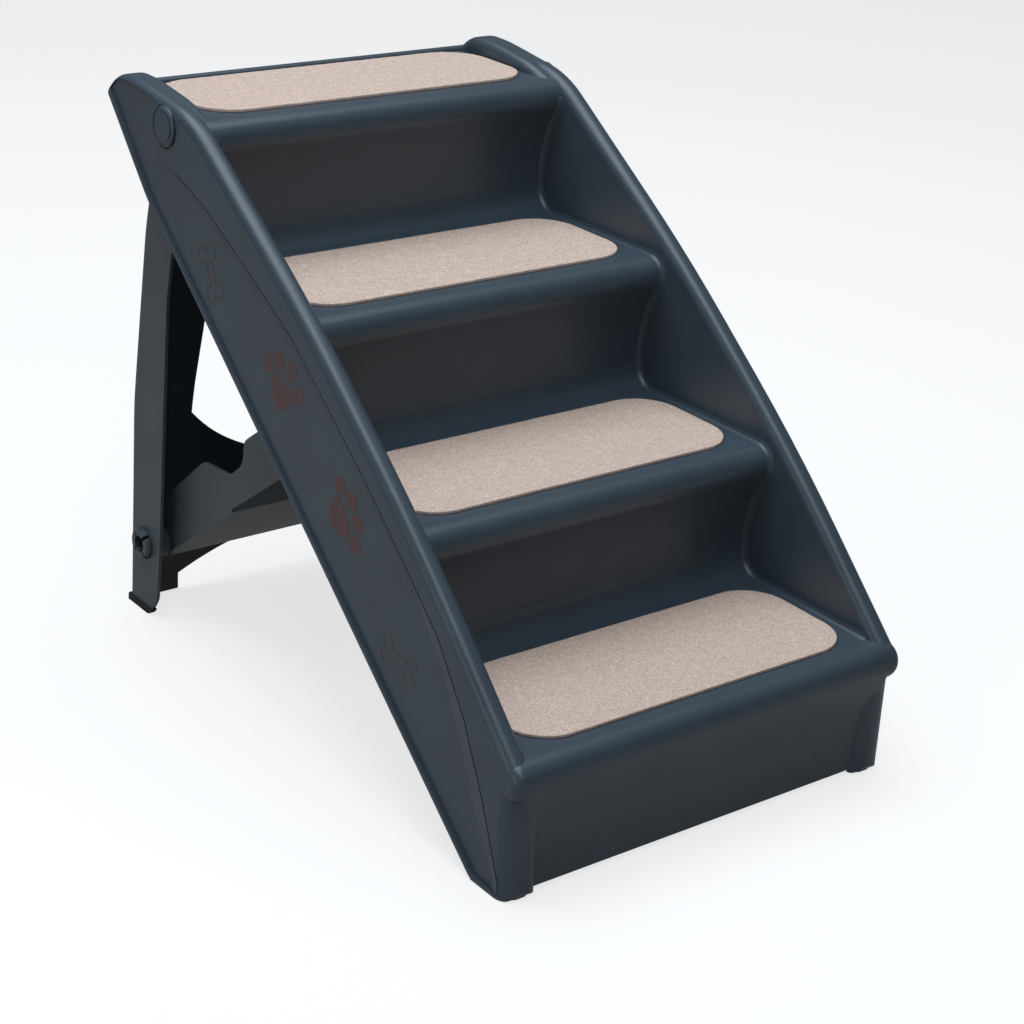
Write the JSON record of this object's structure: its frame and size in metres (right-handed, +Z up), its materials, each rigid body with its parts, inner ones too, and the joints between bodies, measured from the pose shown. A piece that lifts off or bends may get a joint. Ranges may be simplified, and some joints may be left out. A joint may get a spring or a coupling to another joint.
{
  "type": "pet stairs",
  "caption": "Folding pet stairs: moulded stair shell with felt tread mats, a hinged rear leg frame and a folding brace that hooks under the steps.",
  "frame": {"origin": "on the floor at the middle of the footprint", "axes": "+Z up, +Y towards the rear (from the lowest step to the deck), +X to the right seen from the front"},
  "size_m": [0.4, 0.62, 0.5],
  "materials": {
    "shell_plastic": "satin",
    "frame_plastic": "satin",
    "pin_plastic": "satin",
    "washer_plastic": "satin",
    "clip_steel": "brushed",
    "mat_felt": "rough",
    "adhesive_film": "matte",
    "foot_rubber": "matte"
  },
  "bodies": {
    "shell": {"stair_shell": "shell_plastic", "tread_mat_1": "mat_felt", "tread_mat_2": "mat_felt", "tread_mat_3": "mat_felt", "tread_mat_4": "mat_felt", "mat_adhesive_1": "adhesive_film", "mat_adhesive_2": "adhesive_film", "mat_adhesive_3": "adhesive_film", "mat_adhesive_4": "adhesive_film", "hinge_pin_left": "pin_plastic", "hinge_pin_right": "pin_plastic", "hinge_washers_left": "washer_plastic", "hinge_washers_right": "washer_plastic", "hinge_clip_left": "clip_steel", "hinge_clip_right": "clip_steel", "catch_pin_left": "clip_steel", "catch_pin_right": "clip_steel", "front_foot_left": "foot_rubber", "front_foot_right": "foot_rubber"},
    "leg": {"leg_frame": "frame_plastic", "rear_foot_left": "foot_rubber", "rear_foot_right": "foot_rubber"},
    "brace": {"brace": "frame_plastic", "brace_pin_left": "pin_plastic", "brace_pin_right": "pin_plastic", "brace_washer_left": "washer_plastic", "brace_washer_right": "washer_plastic"}
  },
  "joints": [
    {"name": "leg_fold", "type": "hinge", "parent": "shell", "child": "leg", "pos_m": [0, 0.207, 0.473], "axis": [1, 0, 0], "range_deg": [-33, 0]},
    {"name": "brace_fold", "type": "hinge", "parent": "leg", "child": "brace", "pos_m": [0, 0.272, 0.069], "axis": [1, 0, 0], "range_deg": [-41.25, 0]}
  ],
  "couplings": [
    {"joint": "brace_fold", "follows": "leg_fold", "ratio": 1.25}
  ]
}
